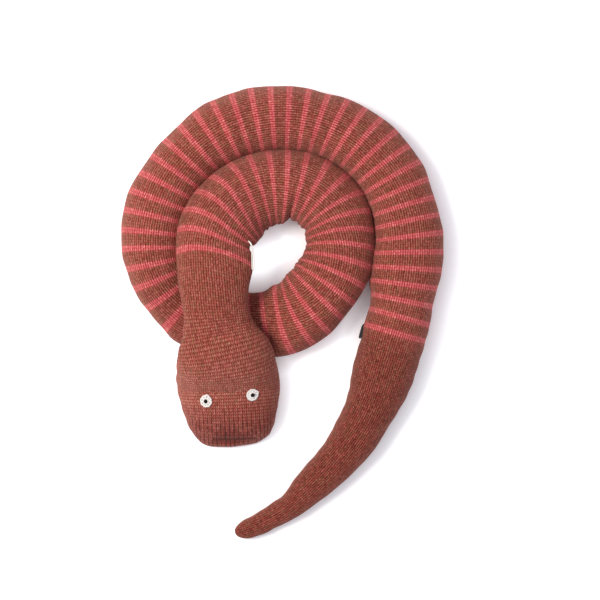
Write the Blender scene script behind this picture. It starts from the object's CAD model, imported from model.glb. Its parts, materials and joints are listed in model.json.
import json
import math

import bmesh
import bpy
import numpy as np
from mathutils import Matrix, Vector
from mathutils.bvhtree import BVHTree

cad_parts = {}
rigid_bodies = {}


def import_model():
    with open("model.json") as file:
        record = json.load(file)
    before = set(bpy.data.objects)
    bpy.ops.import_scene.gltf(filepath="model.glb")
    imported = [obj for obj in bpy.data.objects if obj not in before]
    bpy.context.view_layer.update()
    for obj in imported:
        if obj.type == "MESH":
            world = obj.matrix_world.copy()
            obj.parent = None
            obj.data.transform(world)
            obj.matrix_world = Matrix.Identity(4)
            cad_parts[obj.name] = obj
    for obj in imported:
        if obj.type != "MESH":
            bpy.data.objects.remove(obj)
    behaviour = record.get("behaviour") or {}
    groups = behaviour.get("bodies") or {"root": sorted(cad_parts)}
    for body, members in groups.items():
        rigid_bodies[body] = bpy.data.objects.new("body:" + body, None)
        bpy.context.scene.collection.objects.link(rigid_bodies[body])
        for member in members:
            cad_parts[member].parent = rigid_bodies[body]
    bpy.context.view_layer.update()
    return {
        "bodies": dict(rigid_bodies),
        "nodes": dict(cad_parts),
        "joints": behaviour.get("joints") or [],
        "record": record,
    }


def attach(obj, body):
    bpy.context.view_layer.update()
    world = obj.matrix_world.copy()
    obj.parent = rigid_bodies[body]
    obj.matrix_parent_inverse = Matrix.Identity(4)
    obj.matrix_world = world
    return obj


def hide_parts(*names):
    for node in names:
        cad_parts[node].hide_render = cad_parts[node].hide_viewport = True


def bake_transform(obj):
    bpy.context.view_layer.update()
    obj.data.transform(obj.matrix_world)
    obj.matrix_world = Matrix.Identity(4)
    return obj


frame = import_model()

# Stuffed snake in striped machine knit, coiled twice, head over the lower turn.
# Sizes are in millimetres. The distance s runs along the body from the far side of the inner turn,
# positive to the tail and negative to the nose, as it does in the frame's solids.
MM = 0.001

BODY_R = 45
REST_SINK = 0.07
INNER_R = 94
CROSS_LEN = 68
BEND_R = 105
OUTER_R = 180.3
TAIL_LEG = 100
TAIL_TURNS = [18, -2, 21, 11, 27]
TIP_PROUD = 4  # how far the gathered end of the knit stands past the solid
TIP_LEN = 22 + TIP_PROUD
TIP_R = 12
TAPER_LEN = 350
CLIMB_R = 90
CLIMB_TURN = 93
NECK_BENDS = [(56, 2), (70, 8), (56, -10)]
NECK_H = 54
UNDER_H = 54
UNDER_LEN = 145
UNDER_PAST = 10
PRESS_FULLNESS = 1.3
CLIMB_LEN = 190
CROSS_RUN = 93
HEAD_H = 86
HEAD_EDGE = 33
HEAD_LEN = 178
NECK_GAP = 1.5
CLOSE_FROM = 90
BELLY_PRESS = 4
BELLY_LEN = 30
DEEPEN_FROM = 60
DEEPEN_LEN = 35
DOME_FROM = 10
DOME_LEN = 70
SETTLE_FROM = 24
SETTLE_LEN = 74
SECTION_POWER = 2.15  # of the body's section: 2 is an ellipse, and more is squarer

JOINT = {j["name"]: j for j in frame["record"]["behaviour"]["joints"]}


def joint_at(name):
    return np.array(JOINT[name]["pos_m"]) / MM


def circle_centre(a, b, c):
    """Centre of the circle through three plan points."""
    m = 2 * np.array([b[:2] - a[:2], c[:2] - a[:2]])
    d = np.array([b[:2] @ b[:2] - a[:2] @ a[:2], c[:2] @ c[:2] - a[:2] @ a[:2]])
    return np.linalg.solve(m, d)


OUTER_CENTRE = circle_centre(*[joint_at(f"loop_bend_{i}") for i in (1, 3, 6)])
START = OUTER_CENTRE - [OUTER_R - CROSS_LEN - BEND_R, BEND_R - 2 * INNER_R]

HALF_TURN = INNER_R * math.pi
OUTER_START = HALF_TURN + CROSS_LEN + BEND_R * math.pi / 2
OUTER_HALF = OUTER_R * math.pi
TAIL_START = OUTER_START + OUTER_HALF
TAIL_END = TAIL_START + len(TAIL_TURNS) * TAIL_LEG + TIP_PROUD
CLIMB_ARC = CLIMB_R * math.radians(CLIMB_TURN)
CROSS_U = CLIMB_ARC + CROSS_RUN
NOSE = CROSS_U + HEAD_LEN
HEAD_LEG = NOSE - CLIMB_ARC - sum(length for length, turn in NECK_BENDS)
TAIL_LEGS = [(HALF_TURN, -180), (CROSS_LEN, 0), (BEND_R * math.pi / 2, -90), (OUTER_HALF, -180)]
TAIL_LEGS += [(TAIL_LEG, -turn) for turn in TAIL_TURNS]
HEAD_LEGS = [(CLIMB_ARC, CLIMB_TURN)] + NECK_BENDS + [(HEAD_LEG, -4)]


def walk(legs, heading, u):
    """Plan points and headings at distances u along arcs of (length, turn)."""
    at, h, begun = np.array(START, float), math.radians(heading), 0
    points, angles = np.zeros((len(u), 2)), np.zeros(len(u))
    for i, (length, turn) in enumerate(legs):
        turn = math.radians(turn)
        inside = (u >= begun) if i == 0 else (u > begun)
        part = (u[inside] - begun) / length
        for share in (part, np.array([1.0])):
            a = turn * share
            chord = length * share * np.sinc(a / 2 / math.pi)
            moved = at + chord[:, None] * np.stack([np.cos(h + a / 2), np.sin(h + a / 2)], 1)
            if share is part:
                points[inside], angles[inside] = moved, h + a
        at, h, begun = moved[0], h + turn, begun + length
    return points, angles


def plan(s):
    to_tail, to_head = walk(TAIL_LEGS, 0, np.maximum(s, 0)), walk(HEAD_LEGS, 180, np.maximum(-s, 0))
    tailward = s >= 0
    points = np.where(tailward[:, None], to_tail[0], to_head[0])
    return points, np.where(tailward, to_tail[1], to_head[1] - math.pi)


def ease(t):
    u = np.clip(t, 0, 1)
    return u * u * (3 - 2 * u)


def smooth(points, s):
    """A smooth line through a few (s, value) points, which doesn't swing past them."""
    x, y = np.array(points, float).T
    steep = np.diff(y) / np.diff(x)
    a, b = steep[:-1], steep[1:]
    inner = np.where(a * b > 0, 2 * a * b / np.where(a * b > 0, a + b, 1), 0)
    slope = np.concatenate([steep[:1], inner, steep[-1:]])
    i = np.clip(np.searchsorted(x, s) - 1, 0, len(x) - 2)
    h = x[i + 1] - x[i]
    t = np.clip((s - x[i]) / h, 0, 1)
    return (
        (1 + 2 * t) * (1 - t) ** 2 * y[i] + t * (1 - t) ** 2 * h * slope[i]
        + t * t * (3 - 2 * t) * y[i + 1] + t * t * (t - 1) * h * slope[i + 1]
    )


def pressed(s):
    """How far the turn below is pressed flat where it passes under the neck."""
    near = 1 - abs(s - HALF_TURN - CROSS_LEN - UNDER_PAST) / UNDER_LEN
    return np.where(s > 0, (BODY_R - UNDER_H / 2 / (1 - REST_SINK / 2)) * ease(PRESS_FULLNESS * near), 0)


def tail_r(s):
    t = np.maximum(s - TAIL_END + TIP_LEN + TAPER_LEN, 0) / TAPER_LEN
    r = BODY_R + (TIP_R - BODY_R) * np.minimum(t, 1)
    e = np.maximum(s - TAIL_END + TIP_LEN, 0) / TIP_LEN
    return r * np.sqrt(np.maximum(1 - e * e, 0))


def to_nose(u):
    return np.maximum(u - CROSS_U - CLOSE_FROM, 0) / (HEAD_LEN - CLOSE_FROM)


def nose_thin(u):
    return 0.08 + 0.92 * np.maximum(1 - to_nose(u) ** 2, 0) ** 0.75


def neck_r(u):
    return BODY_R + (NECK_H / 2 - BODY_R) * ease((u / CLIMB_LEN - 0.4) / 0.6)


def above(s):
    """Height of the skin above the widest line."""
    u, n = -s, neck_r(-s)
    head = (n + (HEAD_H - HEAD_EDGE - n) * ease((u - CROSS_U - DOME_FROM) / DOME_LEN)) * nose_thin(u)
    return np.where(s >= 0, tail_r(s) - pressed(s), head)


def below(s):
    """Depth of the skin below the widest line."""
    u, n = -s - CROSS_U, neck_r(-s)
    deep = HEAD_EDGE / (1 - REST_SINK) - n + BELLY_PRESS
    head = n - BELLY_PRESS * ease(u / BELLY_LEN) + deep * ease((u - DEEPEN_FROM) / DEEPEN_LEN)
    return np.where(s >= 0, tail_r(s) - pressed(s), head * nose_thin(-s))


def height(s):
    """Height of the widest line above the surface."""
    rest = BODY_R * (1 - REST_SINK)
    over = UNDER_H + NECK_H / 2 + NECK_GAP
    climb = rest + (over - rest) * ease(-s / CLIMB_LEN)
    climb = (climb + (HEAD_EDGE - over) * ease((-s - CROSS_U - SETTLE_FROM) / SETTLE_LEN)) * nose_thin(-s)
    flat = (tail_r(np.minimum(s, TAIL_END - TIP_LEN)) - pressed(s)) * (1 - REST_SINK)
    return np.where(s >= 0, flat, climb)


FUZZ = 0.8  # the hairs of the yarn stand this far out

# Half widths of the body at s: towards the hole of the coil, and away from it. The inner turn is
# squeezed between its own hole and the outer turn, so it isn't evenly wide. The values were measured
# along the outline in the photograph.
HEAD_HALF = [(-393, 57.3), (-380, 61.5), (-362, 66.8), (-345, 70.3)]
TOWARDS_HOLE = [(-417, 35.5), (-413, 44), (-408, 50.8), (-402, 54.6)] + HEAD_HALF + [
    (-330, 70.3), (-313, 67.5), (-297, 67), (-281, 64.5), (-265, 57), (-252, 50), (-224, 44.8),
    (-200, 46.5), (-185, 50.7), (-169, 55.4), (-152, 55.8), (-140, 52.4), (-127, 51.3), (-118, 58),
    (-100, 60.5), (-80, 61.3), (-65, 60.5), (-50, 56.5), (-35, 55.8), (-15, 53.5), (0, 52.2),
    (17, 51.5), (25, 46.5), (35, 43), (50, 40.8), (70, 42.8), (79, 40.5), (88, 45), (113, 50),
    (126, 52.3), (137, 56.3), (150, 56.8), (165, 60), (180, 63), (197, 64.5), (213, 63), (240, 63),
    (257, 61.5), (270, 58), (285, 53), (301, 50), (308, 45), (316, 41), (332, 38.6), (350, 45),
    (650, 44), (735, 45.5), (813, 46.5), (890, 44), (972, 44.5), (1047, 48), (1085, 51), (1112, 55),
    (1150, 54.5), (1180, 45.3), (1197, 43.8), (1222, 45.3), (1240, 43), (1255, 44.2), (1285, 47.2),
    (1315, 45.5), (1345, 46), (1375, 46.7), (1405, 46.5), (1430, 47.4), (1455, 52.3), (1480, 53.8),
    (1497, 47.5), (1512, 44), (1530, 49), (1550, 50), (1600, 50),
]
AWAY_FROM_HOLE = [(-417, 31.5), (-413, 39), (-408, 45.5), (-402, 51.8)] + HEAD_HALF + [
    (-330, 72.3), (-313, 71.8), (-297, 69.3), (-281, 65.7), (-265, 58), (-252, 50), (-224, 44.8),
    (-196, 46.2), (-140, 48.4), (-115, 51), (-70, 48.7), (-28, 50.4), (6, 51.8), (44, 56.5), (82, 55.5),
    (118, 47), (164, 40), (213, 33.5), (245, 40.5), (271, 45.5), (302, 49.5), (330, 49.5), (400, 48.5),
    (420, 47), (436, 43), (450, 40.5), (466, 38.8), (495, 40), (514, 43), (540, 44), (558, 46.9),
    (576, 46.9), (600, 45.2), (630, 43), (666, 40.8), (684, 42.2), (708, 44.5), (726, 45), (760, 44),
    (792, 44), (830, 42.5), (858, 41), (885, 43.8), (924, 46), (954, 46.5), (996, 46.2), (1032, 42.5),
    (1062, 43), (1080, 45.4), (1104, 45), (1128, 42.8), (1170, 39.8), (1194, 42.7), (1218, 44.5),
    (1245, 46), (1262, 48), (1282, 50.5), (1305, 48.2), (1320, 46.3), (1345, 45.8), (1380, 47.3),
    (1410, 47.6), (1440, 47), (1465, 47.2), (1485, 44), (1510, 43), (1530, 42.5), (1545, 42.5),
    (1562, 49), (1600, 52),
]


def half_widths(s):
    taper = tail_r(np.maximum(s, 0)) / BODY_R
    return smooth(TOWARDS_HOLE, s) * taper + FUZZ, smooth(AWAY_FROM_HOLE, s) * taper + FUZZ


# Knitting. Six rows make a repeat of two coral and four rust rows. Each pair below is a distance s
# and the number of the stripe whose middle lies there, as measured in the photograph.
STRIPES = [
    (-417, -11.4), (-203, -2.7), (-142, 0), (-103, 2), (-63, 4), (-4, 7), (50, 10), (97, 13), (134, 15),
    (156, 16), (223, 19), (290, 22), (404, 27), (459, 29), (547, 33), (638, 37), (731, 41), (821, 45),
    (973, 52), (1105, 58), (1219, 63), (1600, 80),
]
LAST_STRIPE = 63
LAST_CORAL_ROW = 6.0 * LAST_STRIPE + 2
# How much the rows lean towards the tail on the side away from the hole, as a slope
LEANS = [
    (-417, 0), (-260, 0), (-200, 0.2), (-100, 0.17), (-60, 0.12), (-20, -0.06), (30, -0.08), (55, 0),
    (90, 0.16), (125, 0.25), (160, 0.17), (195, 0.08), (230, -0.08), (265, -0.2), (300, -0.18),
    (350, -0.05), (405, 0.06), (480, 0.05), (545, 0), (820, 0), (900, 0.05), (1040, 0.03),
    (1075, -0.05), (1175, -0.04), (1300, 0), (1600, 0),
]
WALE_MM = [(-417, 3.1), (-300, 3.1), (-220, 3.45), (1150, 3.4), (1300, 3.0), (1595, 2.9)]

AROUND = 128
RING_MM = 3.6


def waves(s, a, seed, pitch):
    """Gentle uneven lumps, about one unit high, with the given pitch in millimetres."""
    draw = np.random.default_rng(seed)
    total = 0
    for _ in range(7):
        k, turns = draw.uniform(0.6, 1.6) / pitch, draw.integers(-2, 3)
        total = total + np.sin(2 * math.pi * k * s + turns * a + draw.uniform(0, 6.3))
    return total / 2.6


def knit_rows(s):
    return 6 * smooth(STRIPES, s) + 1


def lean(s):
    return np.arctan((height(s + 0.5) - height(s - 0.5))) / 3


def skin(s, inset=0.0, detail=True):
    """Points of the body at distances s and all round it, (len(s), AROUND + 1, 3), and their (u, v) in
    stitches. The first and last of a ring are the same point, under the body."""
    s = np.asarray(s, float)
    points, heading = plan(s)
    a = np.linspace(-math.pi / 2, 1.5 * math.pi, AROUND + 1)
    towards, away = half_widths(s)
    up, down = above(s), below(s)
    full = 2 / SECTION_POWER
    cos, sin = np.cos(a)[None], np.sin(a)[None]
    across = np.sign(cos) * abs(cos) ** full * np.where(cos > 0, away[:, None], towards[:, None])
    rise = np.sign(sin) * abs(sin) ** full * np.where(sin > 0, up[:, None], down[:, None])
    shrink = np.clip(1 - inset / np.maximum(np.hypot(across, rise), 1), 0.05, 1)
    if detail:
        shrink = shrink * (1 + relief(s[:, None], a[None]) / np.maximum(np.hypot(across, rise), 6))
    across, rise = across * shrink, rise * shrink
    tilt = lean(s)[:, None]
    h = heading[:, None]
    z = height(s)[:, None] + rise * np.cos(tilt)
    oblique = 0.13 * np.maximum(-across, 0) - 0.03 * np.maximum(across, 0) - 1.6
    nose_skew = ease((-s - 396) / 16)[:, None] * oblique
    back = nose_skew - rise * np.sin(tilt)
    x = points[:, :1] + across * -np.sin(h) + back * np.cos(h)
    y = points[:, 1:] + across * np.cos(h) + back * np.sin(h)
    rest = 4.0
    lift = z - inset
    low = inset + np.where(lift > rest, lift, rest / 4 * (np.clip(lift / rest, -1, 1) + 1) ** 2)
    where = np.stack([x, y, low], 2)
    step = np.linalg.norm(np.diff(where, axis=1), axis=2)
    arc = np.concatenate([np.zeros((len(s), 1)), np.cumsum(step, 1)], 1)
    top = arc[:, AROUND // 2][:, None]
    u = (arc - top) / smooth(WALE_MM, s)[:, None]
    bow = 0.004 * ease((s + 230) / 50) * ease((-20 - s) / 50)
    v = knit_rows(s[:, None] - smooth(LEANS, s)[:, None] * across + bow[:, None] * across ** 2)
    return where * MM, np.stack([u, v], 2)


def relief(s, a):
    """Lumps of stuffing, the puckers and the crease at the hole of the coil, the seam and the gathered
    nose, in millimetres."""
    inner = np.maximum(-np.cos(a), 0)
    top = np.maximum(np.sin(a), 0)
    lumps = (0.55 * waves(s, a, 4, 90) + 0.2 * waves(s, a, 9, 35)) * (1 + 0.5 * ease((-s - 120) / 60))
    tight = ease((s + 100) / 60) * ease((330 - s) / 60)
    repeat = 2 * math.pi * (knit_rows(s) - 1) / 6
    folds = -0.9 * np.cos(repeat + 1.6 * waves(s, 0 * a, 21, 40)) * (0.7 + 0.7 * waves(s, 0 * a, 33, 55))
    puckers = tight * (folds - 0.4 * np.abs(folds)) * inner ** 2
    crease_at = 33 - 5 * top
    crease = -4.5 * np.exp(-((s - crease_at) / 3.4) ** 2) * ease((inner - 0.1) / 0.6)
    seam = -1.3 * np.exp(-((a - math.pi - 0.12) / 0.05) ** 2) * ease((s + 370) / 40)
    middle = np.exp(-((a - math.pi / 2) / 0.62) ** 4)
    gather_at = -405.5
    gather = -5 * np.exp(-((s - gather_at) / 4.2) ** 2) * middle
    return lumps * ease((NOSE + s) / 25 + 0.2) + puckers + crease + seam + gather


# Materials

def linear(code):
    """Linear colour of an sRGB hex code."""
    parts = [int(code[i : i + 2], 16) / 255 for i in (1, 3, 5)]
    return [c / 12.92 if c <= 0.04045 else ((c + 0.055) / 1.055) ** 2.4 for c in parts] + [1]


def add(material, kind, *inputs, out=0, stops=None, **settings):
    """Adds a node and gives one of its outputs. Inputs are given in their order or, as settings with a
    capital letter, by name. The other settings are the node's own, and stops are the places and colours
    of a ramp."""
    node = material.node_tree.nodes.new("ShaderNode" + kind)
    wires = dict(enumerate(inputs))
    for name, value in settings.items():
        if name[0].isupper():
            wires[name.replace("_", " ")] = value
        else:
            setattr(node, name, value)
    for name, value in wires.items():
        if isinstance(value, bpy.types.NodeSocket):
            material.node_tree.links.new(value, node.inputs[name])
        else:
            node.inputs[name].default_value = value
    for i, (place, code) in enumerate(stops or []):
        marks = node.color_ramp.elements
        mark = marks[i] if i < 2 else marks.new(place)
        mark.position, mark.color = place, linear(code)
    return node.outputs[out] if node.outputs else node


def fresh_material(name):
    made = bpy.data.materials.new(name)
    made.use_nodes = True
    made.node_tree.nodes.clear()
    return made


def marled_knit():
    """Stockinette in a marled yarn, taken to be wool with alpaca, about 3.4 mm a wale and 3.6 mm a row.
    Each stitch is a V in its own column with a dark gap beside it. Its tone changes from stitch to stitch,
    and a soft pale sheen stands for the yarn's fine hairs."""
    m = fresh_material("wool_alpaca_stockinette")
    stitches = add(m, "UVMap", uv_map="stitches")
    wale = add(m, "SeparateXYZ", stitches)
    row = add(m, "SeparateXYZ", stitches, out=1)
    # From 0 in the middle of a wale to 1 in the gap beside it
    column = add(m, "Math", wale, operation="FRACT")
    column = add(m, "Math", column, 0.5, operation="SUBTRACT")
    column = add(m, "Math", column, operation="ABSOLUTE")
    side = add(m, "Math", column, 2.0, operation="MULTIPLY")
    # The legs of the V slope, so a course of stitches has a zigzag edge
    course = add(m, "Math", side, 0.45, row, operation="MULTIPLY_ADD")
    along = add(m, "Math", course, operation="FRACT")
    along = add(m, "Math", along, 2.0, -1.0, operation="MULTIPLY_ADD")
    along = add(m, "Math", along, operation="ABSOLUTE")
    ends = add(m, "Math", along, 3.0, operation="POWER")
    gap = add(m, "Math", side, 2.2, operation="POWER")
    # The head shows the purl side, where the rows stand out and the wales hardly do
    purl = add(m, "MapRange", row, -14.0, -26.0, 0.0, 1.0)
    ribbed = add(m, "MapRange", row, RIB_ROW, RIB_ROW - 9, 0.0, 1.0)
    purl = add(m, "Math", ribbed, -0.5, purl, operation="MULTIPLY_ADD")
    ends_deep = add(m, "Math", purl, -0.42, -0.32, operation="MULTIPLY_ADD")
    gap_deep = add(m, "Math", purl, 0.36, -0.78, operation="MULTIPLY_ADD")
    # Every second wale lies lower in the ribbed end of the nose, by a depth of its own at each stitch
    course_number = add(m, "Math", course, operation="FLOOR")
    wale_number = add(m, "Math", wale, operation="FLOOR")
    stitch = add(m, "CombineXYZ", wale_number, course_number)
    pair = add(m, "Math", wale, 0.5, operation="MULTIPLY")
    pair = add(m, "Math", pair, operation="FRACT")
    pair = add(m, "Math", pair, 2.0, -1.0, operation="MULTIPLY_ADD")
    pair = add(m, "Math", pair, operation="ABSOLUTE")
    uneven = add(m, "TexWhiteNoise", stitch, noise_dimensions="2D")
    uneven = add(m, "Math", uneven, -0.7, -0.2, operation="MULTIPLY_ADD")
    rib = add(m, "Math", ribbed, uneven, operation="MULTIPLY")
    # Height of the yarn, 0 to 1
    yarn_top = add(m, "Math", ends, ends_deep, 1.0, operation="MULTIPLY_ADD")
    yarn_top = add(m, "Math", gap, gap_deep, yarn_top, operation="MULTIPLY_ADD")
    yarn_top = add(m, "Math", pair, rib, yarn_top, operation="MULTIPLY_ADD")
    # Tone: from stitch to stitch, in short streaks and in broad faint patches
    leg = add(m, "Math", wale, 2.0, operation="MULTIPLY")
    across = add(m, "Math", leg, operation="FLOOR")
    cell = add(m, "CombineXYZ", across, course_number)
    each = add(m, "TexWhiteNoise", cell, noise_dimensions="2D")
    other = add(m, "VectorMath", cell, (0.37, 0.61, 0.0), operation="ADD")
    fleck = add(m, "TexWhiteNoise", other, noise_dimensions="2D")
    place = add(m, "TexCoord", out="Object")
    streaks = add(m, "TexNoise", place, Scale=520.0, Detail=2.0, Roughness=0.7)
    patches = add(m, "TexNoise", place, Scale=24.0, Detail=2.0, Roughness=0.5)
    tone = add(m, "Math", each, 0.26, -0.18, operation="MULTIPLY_ADD")
    tone = add(m, "Math", streaks, 0.9, tone, operation="MULTIPLY_ADD")
    tone = add(m, "Math", patches, 0.09, tone, operation="MULTIPLY_ADD")
    # The plain ends were knitted from other balls: a lighter one at the head, a darker one at the tail
    head_ball = add(m, "MapRange", row, -28.0, -40.0, 0.0, 0.1)
    tail_ball = add(m, "MapRange", row, LAST_CORAL_ROW, LAST_CORAL_ROW + 6, 0.0, 0.11)
    tone = add(m, "Math", tone, head_ball, operation="ADD")
    tone = add(m, "Math", tone, tail_ball, operation="SUBTRACT")
    rust = add(m, "ValToRGB", tone, stops=RUST_WOOL)
    coral = add(m, "ValToRGB", tone, stops=CORAL_WOOL)
    olive = add(m, "Math", fleck, 0.86, operation="GREATER_THAN")
    olive = add(m, "Math", olive, 0.32, operation="MULTIPLY")
    rust = add(m, "MixRGB", olive, rust, linear("#6f5a38"))
    red = add(m, "Math", fleck, 0.14, operation="LESS_THAN")
    red = add(m, "Math", red, 0.28, operation="MULTIPLY")
    rust = add(m, "MixRGB", red, rust, linear("#a23c38"))
    # Two rows in six are coral, from the neck to the tail
    repeat = add(m, "Math", course, 6.0, operation="FLOORED_MODULO")
    striped = add(m, "Math", repeat, 2.0, operation="LESS_THAN")
    begun = add(m, "Math", course, 0.0, operation="GREATER_THAN")
    going = add(m, "Math", course, LAST_CORAL_ROW, operation="LESS_THAN")
    striped = add(m, "Math", striped, begun, operation="MULTIPLY")
    striped = add(m, "Math", striped, going, operation="MULTIPLY")
    wool = add(m, "MixRGB", striped, rust, coral)
    shade = add(m, "Math", yarn_top, 0.88, 0.38, operation="MULTIPLY_ADD")
    # Where the closing yarn gathers the nose, the tight stitches make a short dark band
    from_middle = add(m, "Math", wale, operation="ABSOLUTE")
    middle = add(m, "MapRange", from_middle, 10.5, 5.0, 0.0, 1.0)
    from_band = add(m, "Math", row, GATHER_ROW, operation="SUBTRACT")
    from_band = add(m, "Math", from_band, operation="ABSOLUTE")
    band = add(m, "MapRange", from_band, 3.6, 0.8, 0.0, 0.36)
    band = add(m, "Math", band, middle, operation="MULTIPLY")
    patchy = add(m, "Math", each, 0.8, 0.6, operation="MULTIPLY_ADD")
    band = add(m, "Math", band, patchy, operation="MULTIPLY")
    light = add(m, "Math", 1.0, band, operation="SUBTRACT")
    shade = add(m, "Math", shade, light, operation="MULTIPLY")
    redder = add(m, "Math", shade, 2.4, operation="POWER")
    depth = add(m, "CombineXYZ", shade, redder, redder)
    colour = add(m, "MixRGB", 1.0, wool, depth, blend_type="MULTIPLY")
    fuzz = add(m, "Math", streaks, 0.3, yarn_top, operation="MULTIPLY_ADD")
    bump = add(m, "Bump", Strength=0.8, Distance=0.0011, Height=fuzz)
    body = add(
        m, "BsdfPrincipled", Base_Color=colour, Roughness=0.95, Normal=bump, Sheen_Weight=0.2,
        Sheen_Roughness=0.45, Sheen_Tint=linear("#e8c0ae"), Specular_IOR_Level=0.2,
    )
    add(m, "OutputMaterial", body)
    return m


def fibre_filling():
    """Loose polyester fibre: white, soft and cloudy, with faint curls."""
    m = fresh_material("polyester_fibre_filling")
    place = add(m, "TexCoord", out="Object")
    curl = add(m, "TexNoise", place, Scale=160.0, Detail=5.0, Roughness=0.7, Distortion=1.5)
    colour = add(m, "ValToRGB", curl, stops=[(0.3, "#d9d6cf"), (0.7, "#f3f1ec")])
    bump = add(m, "Bump", Strength=0.6, Distance=0.002, Height=curl)
    body = add(m, "BsdfPrincipled", Base_Color=colour, Roughness=0.9, Normal=bump, Sheen_Weight=0.3)
    add(m, "OutputMaterial", body)
    return m


def spun_yarn(name, dark, light, ply_mm):
    """Plied yarn: slanting plies ply_mm apart, each a little lighter on its ridge, with short hairs."""
    m = fresh_material(name)
    place = add(m, "TexCoord", out="Object")
    plies = add(
        m, "TexWave", place, wave_type="BANDS", bands_direction="DIAGONAL", Scale=WAVE_UNIT / (ply_mm * MM),
        Distortion=2.5, Detail=1.0,
    )
    hairs = add(m, "TexNoise", place, Scale=1200.0, Detail=2.0)
    mix = add(m, "Math", hairs, 0.4, operation="MULTIPLY")
    mix = add(m, "Math", plies, 0.6, mix, operation="MULTIPLY_ADD")
    colour = add(m, "ValToRGB", mix, stops=[(0.2, dark), (0.75, light)])
    bump = add(m, "Bump", Strength=0.7, Distance=0.0005, Height=mix)
    body = add(
        m, "BsdfPrincipled", Base_Color=colour, Roughness=0.85, Normal=bump, Sheen_Weight=0.12,
        Sheen_Roughness=0.5, Sheen_Tint=linear(light), Specular_IOR_Level=0.2,
    )
    add(m, "OutputMaterial", body)
    return m


def woven_tape(name, dark, light):
    """Flat woven tape. Its threads are 0.4 mm apart, drawn 1 mm apart so that they show."""
    m = fresh_material(name)
    place = add(m, "TexCoord", out="Object")
    weft = add(m, "TexWave", place, wave_type="BANDS", bands_direction="Z", Scale=WAVE_UNIT / MM)
    warp = add(m, "TexWave", place, wave_type="BANDS", bands_direction="Y", Scale=WAVE_UNIT / MM)
    thread = add(m, "Math", weft, warp, operation="MAXIMUM")
    colour = add(m, "ValToRGB", thread, stops=[(0.2, dark), (0.8, light)])
    bump = add(m, "Bump", Strength=0.5, Distance=0.0002, Height=thread)
    body = add(m, "BsdfPrincipled", Base_Color=colour, Roughness=0.7, Normal=bump, Sheen_Weight=0.1)
    add(m, "OutputMaterial", body)
    return m


RIB_ROW = float(knit_rows(np.array(-348.0)))
GATHER_ROW = float(knit_rows(np.array(-401.0)))
WAVE_UNIT = 1 / 3.18  # a wave texture of scale 1 has its bands this far from one a metre
RUST_WOOL = [(0.14, "#582018"), (0.9, "#c48878"), (0.36, "#79382d"), (0.5, "#90493d"), (0.68, "#a45d51")]
CORAL_WOOL = [(0.14, "#983437"), (0.86, "#e29089"), (0.5, "#be5455")]
KNIT = marled_knit()
FILLING = fibre_filling()
CREAM_COTTON = spun_yarn("cream_crochet_cotton", "#b9b3ae", "#fcfaf8", 1.2)
BLACK_YARN = spun_yarn("black_cotton_yarn", "#050505", "#1d1a19", 1.0)
RUST_YARN = spun_yarn("rust_wool_yarn", "#3a1a15", "#6e352b", 2.0)
CREAM_TAPE = woven_tape("cream_woven_tape", "#e4dfd2", "#fffdf6")
BLACK_TAPE = woven_tape("black_woven_tape", "#08080a", "#26262a")


# Pieces

def to_object(name, points, faces, finish, uv=None, normals=None):
    """A mesh object at the origin, with smooth faces. Where no normals are given the form is closed, and
    its faces are turned outwards."""
    mesh = bpy.data.meshes.new(name)
    mesh.from_pydata([tuple(p) for p in points], [], faces)
    if normals is None:
        form = bmesh.new()
        form.from_mesh(mesh)
        bmesh.ops.recalc_face_normals(form, faces=form.faces)
        form.to_mesh(mesh)
        form.free()
    mesh.materials.append(finish)
    mesh.polygons.foreach_set("use_smooth", [True] * len(mesh.polygons))
    if uv is not None:
        layer = mesh.uv_layers.new(name="stitches")
        layer.data.foreach_set("uv", np.asarray(uv, np.float32).ravel())
    mesh.validate()
    if normals is not None:
        mesh.normals_split_custom_set_from_vertices([tuple(n) for n in normals])
    made = bpy.data.objects.new(name, mesh)
    bpy.context.collection.objects.link(made)
    return made


def tube_faces(rings, n):
    """Quads of an open tube whose rings have n points, and for each corner the (ring, place) that its
    stitches take."""
    faces, corners = [], []
    for k in range(rings - 1):
        for i in range(n):
            j = (i + 1) % n
            faces.append((k * n + i, k * n + j, (k + 1) * n + j, (k + 1) * n + i))
            corners += [(k, i), (k, i + 1), (k + 1, i + 1), (k + 1, i)]
    return faces, corners


def ring_normals(points):
    """Outward normals of a grid of rings that close on themselves."""
    body = points[:, :-1]
    along = np.gradient(body, axis=0)
    round_it = np.roll(body, -1, 1) - np.roll(body, 1, 1)
    normal = np.cross(round_it, along)
    return normal / np.maximum(np.linalg.norm(normal, axis=2, keepdims=True), 1e-9)


NECK_AT = [-48, -128, -205]
HEAD_AT = -CROSS_U - 26
LOOP_EDGES = [OUTER_START + i * OUTER_HALF / 6 for i in range(7)]
TAIL_EDGES = [TAIL_START + 1.5 * TAIL_LEG + TAIL_LEG * i for i in range(4)]
TAIL_BOUNDS = [TAIL_START] + TAIL_EDGES
HEAD_EDGE_AT = -303

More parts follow.
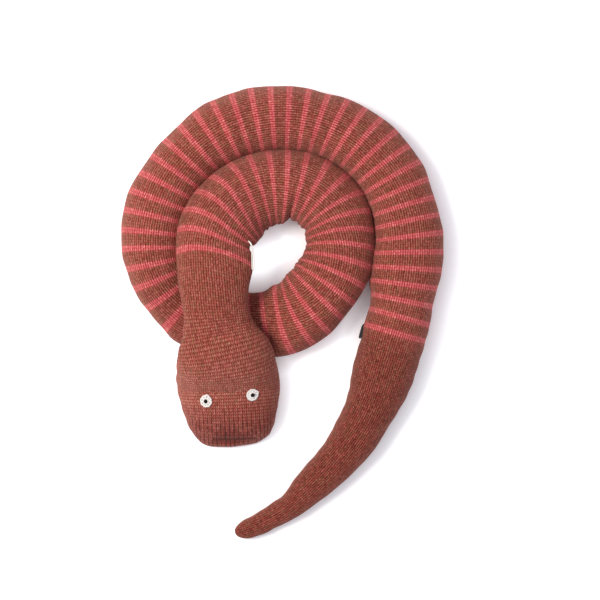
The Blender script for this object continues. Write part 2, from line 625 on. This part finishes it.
# Lengths of the cover: name, from, to, the CAD nodes it stands for, and the body or the joint it bends at
COVERS = [
    ("cover_head", -NOSE, HEAD_EDGE_AT, ["knit_head"], "head"),
    ("cover_neck_4", HEAD_EDGE_AT, -235, ["knit_neck_4"], "head_nod"),
    ("cover_neck_3", -235, -166.5, ["knit_neck_3"], "neck_turn"),
    ("cover_neck_2", -166.5, -88, ["knit_neck_2"], "neck_bend_2"),
    ("cover_neck_1", -88, 0, ["knit_neck_1"], "neck_bend_1"),
    ("cover_inner_turn", 0, OUTER_START,
     ["knit_coil_1", "knit_coil_2", "knit_coil_3", "knit_under_1", "knit_under_2", "knit_bend"], "coil"),
]
COVERS += [
    (f"cover_outer_{i + 1}", LOOP_EDGES[i], LOOP_EDGES[i + 1], [f"knit_loop_{i + 1}"], f"loop_bend_{i + 1}")
    for i in range(6)
]
COVERS += [
    (f"cover_tail_{i + 1}", TAIL_BOUNDS[i], TAIL_BOUNDS[i + 1], [f"knit_tail_{i + 1}"], f"tail_bend_{i + 1}")
    for i in range(4)
]
COVERS += [("cover_tail_tip", TAIL_EDGES[3], TAIL_END, ["knit_tail_tip"], "tail_4")]

# Distance of each joint along the body
LOOP_AT = [LOOP_EDGES[i] + OUTER_HALF / 12 for i in range(6)]
TAIL_AT = [edge - TAIL_LEG / 2 for edge in TAIL_EDGES]
BEND_AT = {"neck_bend_1": NECK_AT[0], "neck_bend_2": NECK_AT[1], "neck_turn": NECK_AT[2], "head_nod": HEAD_AT}
BEND_AT.update({f"loop_bend_{i + 1}": s for i, s in enumerate(LOOP_AT)})
BEND_AT.update({f"tail_bend_{i + 1}": s for i, s in enumerate(TAIL_AT)})


def stations():
    """Distances of all the rings. They hold the edge of every cover, and close up at both ends."""
    rings = []
    for name, a, b, nodes, moves in COVERS:
        count = max(int(round((b - a) / RING_MM)), 2)
        rings += list(np.linspace(a, b, count + 1)[:-1])
    rings = [s for s in rings if -NOSE + 8 < s < TAIL_END - TIP_LEN]
    nose = [-NOSE + 8 * (1 - math.cos(t)) for t in np.linspace(0.12, 1.5, 9)]
    tip = [TAIL_END - TIP_LEN + TIP_LEN * math.sin(t) for t in np.linspace(0, 1.53, 12)]
    return np.array(nose + rings + tip)


def make_covers():
    s = stations()
    points, uv = skin(s)
    normals = ring_normals(points)
    made = {}
    for name, a, b, nodes, moves in COVERS:
        inside = np.where((s >= a - 0.01) & (s <= b + 0.01))[0]
        grid, stitch = points[inside], uv[inside]
        flat = list(grid[:, :-1].reshape(-1, 3))
        normal = list(normals[inside].reshape(-1, 3))
        faces, corners = tube_faces(len(inside), AROUND)
        loops = [stitch[k, i] for k, i in corners]
        if a == -NOSE or b == TAIL_END:
            k = 0 if a == -NOSE else len(inside) - 1
            flat.append(grid[k, :-1].mean(0))
            outward = grid[k, :-1].mean(0) - grid[k - 3 if k else 3, :-1].mean(0)
            normal.append(outward / np.linalg.norm(outward))
            for i in range(AROUND):
                j = (i + 1) % AROUND
                pair = (k * AROUND + j, k * AROUND + i) if k == 0 else (k * AROUND + i, k * AROUND + j)
                faces.append(pair + (len(flat) - 1,))
                ends = [stitch[k, i], stitch[k, i + 1]]
                loops += (ends[::-1] if k == 0 else ends) + [(stitch[k, i] + stitch[k, i + 1]) / 2]
        cover = to_object(name, flat, faces, KNIT, loops, normal)
        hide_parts(*nodes)
        if moves in JOINT:
            bend_at(cover, moves)
        else:
            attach(cover, moves)
        made[name] = cover
    return made


def bend_at(piece, name):
    """The piece follows the joint's two bodies and bends where they meet."""
    s = BEND_AT[name]
    heading = plan(np.array([s]))[1][0]
    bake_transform(piece)


FILLINGS = [
    ("stuffing_head", -NOSE + 14, HEAD_AT, "head"),
    ("stuffing_neck_3", HEAD_AT, NECK_AT[2], "neck_3"),
    ("stuffing_neck_2", NECK_AT[2], NECK_AT[1], "neck_2"),
    ("stuffing_neck_1", NECK_AT[1], NECK_AT[0], "neck_1"),
    ("stuffing_coil", NECK_AT[0], LOOP_AT[0], "coil"),
]
BENDS = LOOP_AT + TAIL_AT + [TAIL_END - 6]
BENT_BODIES = [f"loop_{i}" for i in range(1, 7)] + [f"tail_{i}" for i in range(1, 5)]
FILLINGS += [(f"stuffing_{body}", a, b, body) for body, a, b in zip(BENT_BODIES, BENDS, BENDS[1:])]
FILLING_INSET = 5.5
FILLING_RING_MM = 9
FILLING_ROUNDED = 22  # length over which each end is rounded


def make_fillings():
    """The stuffing inside the cover, one length to each body, rounded where the body bends."""
    for name, a, b, body in FILLINGS:
        count = max(int((b - a) / FILLING_RING_MM), 6)
        s = (a + b) / 2 - (b - a) / 2 * np.cos(np.linspace(0.06, math.pi - 0.06, count))
        grid = skin(s, inset=FILLING_INSET, detail=False)[0][:, :-1:4]
        near = np.minimum(s - a, b - s) / FILLING_ROUNDED
        taper = np.sqrt(np.clip(1 - (1 - np.clip(near, 0, 1)) ** 2, 0.02, 1))[:, None, None]
        middle = grid.mean(1, keepdims=True)
        grid = middle + (grid - middle) * taper
        n = grid.shape[1]
        faces = tube_faces(len(s), n)[0]
        faces += [tuple(reversed(range(n))), tuple((len(s) - 1) * n + i for i in range(n))]
        piece = to_object(name.replace("stuffing", "filling"), grid.reshape(-1, 3), faces, FILLING)
        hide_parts(name)
        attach(piece, body)


def add_loop(major, minor, at, shape, segments=20, tilt=0.0):
    """A loop of yarn: a torus at its place, resized in edit mode, with its origin at the world's."""
    bpy.ops.object.select_all(action="DESELECT")
    bpy.ops.mesh.primitive_torus_add(
        major_radius=major * MM, minor_radius=minor * MM, major_segments=segments, minor_segments=8,
        location=[c * MM for c in at], rotation=(tilt, 0, 0),
    )
    shape_it(at, shape)
    return bpy.context.object


def add_ball(radius, at, shape, segments=24):
    bpy.ops.object.select_all(action="DESELECT")
    bpy.ops.mesh.primitive_uv_sphere_add(
        segments=segments, ring_count=segments // 2, radius=radius * MM, location=[c * MM for c in at])
    shape_it(at, shape)
    return bpy.context.object


def shape_it(at, shape):
    bpy.ops.object.transform_apply(location=True, rotation=True, scale=True)
    bpy.ops.object.mode_set(mode="EDIT")
    bpy.ops.mesh.select_all(action="SELECT")
    bpy.ops.transform.resize(value=shape, center_override=[c * MM for c in at])
    bpy.ops.object.mode_set(mode="OBJECT")


def copies(piece, places):
    """The piece and copies of it, each with its own mesh, at the given places."""
    made = []
    for place in places:
        twin = piece.copy()
        twin.data = piece.data.copy()
        twin.matrix_world = place
        bpy.context.collection.objects.link(twin)
        made.append(twin)
    bpy.data.objects.remove(piece)
    return made


def settle(parts, name, place, finish):
    """Joins the parts, puts them in their place and leaves the origin at the world's."""
    bpy.ops.object.select_all(action="DESELECT")
    for part in parts:
        part.select_set(True)
    bpy.context.view_layer.objects.active = parts[0]
    bpy.ops.object.transform_apply(location=True, rotation=True, scale=True)
    bpy.ops.object.join()
    piece = bpy.context.object
    piece.name = name
    piece.matrix_world = place
    bpy.ops.object.transform_apply(location=True, rotation=True, scale=True)
    bpy.ops.object.shade_smooth()
    piece.data.materials.clear()
    piece.data.materials.append(finish)
    return piece


def on_skin(tree, x, y, turn):
    """A place on the head's skin under a plan point in millimetres, with Z along the skin's normal."""
    where, z = tree.ray_cast(Vector((x * MM, y * MM, 0.3)), Vector((0, 0, -1)))[:2]
    x = Vector((math.cos(turn), math.sin(turn), 0))
    x = (x - z * x.dot(z)).normalized()
    return Matrix.Translation(where) @ Matrix((x, z.cross(x), z)).transposed().to_4x4()


EYE_R = 8.2
# Plan point of each eye, its number of crochet stitches, and where the first of them is
EYES = {"left": ((-41.0, -113.3), 9, 0.4), "right": ((-104.2, -121.9), 8, 1.3)}


def make_eyes(tree):
    """A crocheted ring with plump stitches round it, a finer ring inside, and a black knot."""
    for side, ((x, y), stitches, turn) in EYES.items():
        place = on_skin(tree, x, y, turn)
        ring = [Matrix.Rotation(2 * math.pi * k / stitches, 4, "Z") for k in range(stitches)]
        stitch = add_loop(1.9, 1.15, (EYE_R - 2.7, 0, 1.1), (1.1, 1.35, 0.8))
        parts = copies(stitch, ring)
        parts[0].data.transform(Matrix.Scale(1.12, 4, Vector((1, 0, 0))))
        parts.append(add_ball(EYE_R * 0.74, (0, 0, -0.5), (1, 1, 0.26)))
        parts.append(add_loop(EYE_R * 0.42, 0.95, (0, 0, 1.9), (1, 1, 0.9), segments=36))
        eye = settle(parts, f"crochet_eye_{side}", place, CREAM_COTTON)
        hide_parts(f"eye_{side}")
        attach(eye, "head")
        knot = [add_ball(3.0, (0, 0, 2.3), (1, 0.92, 0.7))]
        knot.append(add_loop(1.6, 0.8, (0.2, 0.1, 3.8), (1.1, 0.8, 0.9), tilt=0.35))
        pupil = settle(knot, f"knot_pupil_{side}", place, BLACK_YARN)
        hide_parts(f"pupil_{side}")
        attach(pupil, "head")


def over_crease(tree, x, y, reach, turn):
    """A place halfway between two points of the skin, with Y along the line from one to the other."""
    back = on_skin(tree, x, y + reach, 0).translation
    front = on_skin(tree, x, y - reach, 0).translation
    along = (back - front).normalized()
    side = along.cross(Vector((0, 0, 1))).normalized()
    frame = Matrix((side, along, side.cross(along))).transposed().to_4x4()
    return Matrix.Translation((back + front) / 2) @ frame @ Matrix.Rotation(turn, 4, "Z")


def make_nose_yarn(tree):
    """The yarn that draws the nose shut: short stitches side by side over the crease."""
    stitch = add_ball(1.5, (0, 0, 0.1), (1, 2.3, 0.7), segments=12)
    count = 15
    left, width, front = -97, 58, -178.4
    places = []
    for k in range(count):
        x = left + width * k / (count - 1)
        y = front + 0.015 * (k - 5) ** 2
        places.append(over_crease(tree, x, y, 3.2, 0.25 * math.sin(5 * k)))
    seam = settle(copies(stitch, places), "nose_closing_yarn", Matrix(), RUST_YARN)
    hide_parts("nose_seam")
    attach(seam, "head")


def make_label(name, node, route, top, drop, thick, finish, body):
    """A folded tape label on edge. One upright strip is extruded along its route, out of the seam, round
    the fold and back, and then rounded and given the tape's thickness. It stays blank."""
    points = [Vector((x * MM, y * MM, 0)) for x, y in route]
    first = points[1] - points[0]
    middle = (points[0] + points[1]) / 2
    bpy.ops.object.select_all(action="DESELECT")
    bpy.ops.mesh.primitive_plane_add(
        size=1, location=(middle.x, middle.y, (top - drop / 2) * MM),
        rotation=(math.pi / 2, 0, math.atan2(first.y, first.x)))
    label = bpy.context.object
    label.name = name
    label.scale = (first.length, drop * MM, 1)
    bpy.ops.object.transform_apply(location=True, rotation=True, scale=True)
    bpy.ops.object.mode_set(mode="EDIT")
    bpy.ops.mesh.select_all(action="DESELECT")
    form = bmesh.from_edit_mesh(label.data)
    for vertex in form.verts:
        vertex.select = (vertex.co - points[1]).xy.length < 0.1 * MM
    form.select_flush(True)
    bmesh.update_edit_mesh(label.data)
    for here, there in zip(points[1:-1], points[2:]):
        bpy.ops.mesh.extrude_region_move(TRANSFORM_OT_translate={"value": there - here})
    bpy.ops.object.mode_set(mode="OBJECT")
    rounded = {"levels": 2, "render_levels": 2}
    thickened = {"thickness": thick * MM, "offset": 0}
    for kind, settings in (("SUBSURF", rounded), ("SOLIDIFY", thickened)):
        modifier = label.modifiers.new(kind.lower(), kind)
        for setting, value in settings.items():
            setattr(modifier, setting, value)
        bpy.ops.object.modifier_apply(modifier=modifier.name)
    bpy.ops.object.shade_smooth_by_angle(angle=math.radians(40))
    label.data.materials.append(finish)
    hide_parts(node)
    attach(label, body)


# Plan routes of the two labels: out of the seam, round the fold and back
NECK_LABEL_ROUTE = [
    (-54, 103), (-50, 101), (-46, 98), (-42.6, 94.5), (-41.5, 88), (-41.2, 78), (-41.1, 68),
    (-40.9, 60), (-40, 57.5), (-39, 60), (-38.7, 68), (-38.8, 78), (-39.6, 88), (-42, 95.5),
    (-47, 99.5), (-52, 103),
]
TAIL_LABEL_ROUTE = [
    (122, -17), (115, -16), (112.3, -18), (110.6, -24), (109, -30), (107.6, -35), (108.4, -36.2),
    (109.6, -35.4), (111, -30), (112.6, -24), (115, -19.5), (122, -19),
]


def white_acrylic():
    """A light table's translucent white acrylic sheet: smooth, and lit from below, so shadows on it stay
    pale. The lamp is strongest in the middle, so the hole of the coil is as white as the floor outside.
    Close beside the toy the sheet falls darker, most of all in the groove between the turns."""
    m = fresh_material("white_acrylic_light_table")
    place = add(m, "TexCoord", out="Object")
    haze = add(m, "TexNoise", place, Scale=3.0, Detail=2.0)
    colour = add(m, "ValToRGB", haze, stops=[(0.3, "#f6f5fa"), (0.7, "#fbfafd")])
    clear = add(m, "AmbientOcclusion", out="AO", Distance=0.035, samples=16)
    clear = add(m, "Math", clear, 2.0, operation="POWER")
    away = add(m, "VectorMath", place, (0.0, -0.01, 0.0), operation="DISTANCE", out="Value")
    lamp = add(m, "MapRange", away, 0.165, 0.21, 0.9, 0.52)
    glow = add(m, "Math", clear, lamp, operation="MULTIPLY")
    body = add(
        m, "BsdfPrincipled", Base_Color=colour, Roughness=0.7, Emission_Color=linear("#f6fcff"),
        Emission_Strength=glow,
    )
    add(m, "OutputMaterial", body)
    return m


def make_floor():
    bpy.ops.object.select_all(action="DESELECT")
    bpy.ops.mesh.primitive_plane_add(size=12)
    floor = bpy.context.object
    floor.name = "light_table"
    floor.data.materials.append(white_acrylic())


def make_camera():
    """Straight above the toy, as the photograph was taken."""
    lens = bpy.data.cameras.new("camera")
    camera = bpy.data.objects.new("camera", lens)
    bpy.context.collection.objects.link(camera)
    middle, body_height = (0.0249, 0.0173), 0.042
    above_body, frame_width = 2.4, 0.84
    camera.location = (*middle, body_height + above_body)
    lens.lens = lens.sensor_width * above_body / frame_width
    bpy.context.scene.camera = camera


def make_light(name, at, aim, size, watts, colour):
    lamp = bpy.data.lights.new(name, "AREA")
    lamp.shape, lamp.size, lamp.energy, lamp.color = "DISK", size, watts, linear(colour)[:3]
    light = bpy.data.objects.new(name, lamp)
    light.location = at
    light.rotation_euler = (Vector(aim) - Vector(at)).to_track_quat("-Z", "Y").to_euler()
    bpy.context.collection.objects.link(light)


def make_lights():
    scene = bpy.context.scene
    scene.view_settings.view_transform = "Standard"
    world = bpy.data.worlds.new("soft_box")
    scene.world = world
    world.use_nodes = True
    world.node_tree.nodes["Background"].inputs[0].default_value = linear("#f6f5fb")
    world.node_tree.nodes["Background"].inputs[1].default_value = 0.62
    make_light("key", (-1.3, 0.35, 2.3), (0, 0, 0), 1.1, 62, "#fff8f0")


make_camera()
COVER = make_covers()
make_fillings()
HEAD_SKIN = BVHTree.FromObject(COVER["cover_head"], bpy.context.evaluated_depsgraph_get())
make_eyes(HEAD_SKIN)
make_nose_yarn(HEAD_SKIN)
make_label(
    "cream_label", "neck_label", NECK_LABEL_ROUTE, top=92, drop=20, thick=0.9, finish=CREAM_TAPE,
    body="neck_2",
)
make_label(
    "black_label", "tail_label", TAIL_LABEL_ROUTE, top=52, drop=15, thick=1.6, finish=BLACK_TAPE,
    body="tail_1",
)
make_floor()
make_lights()
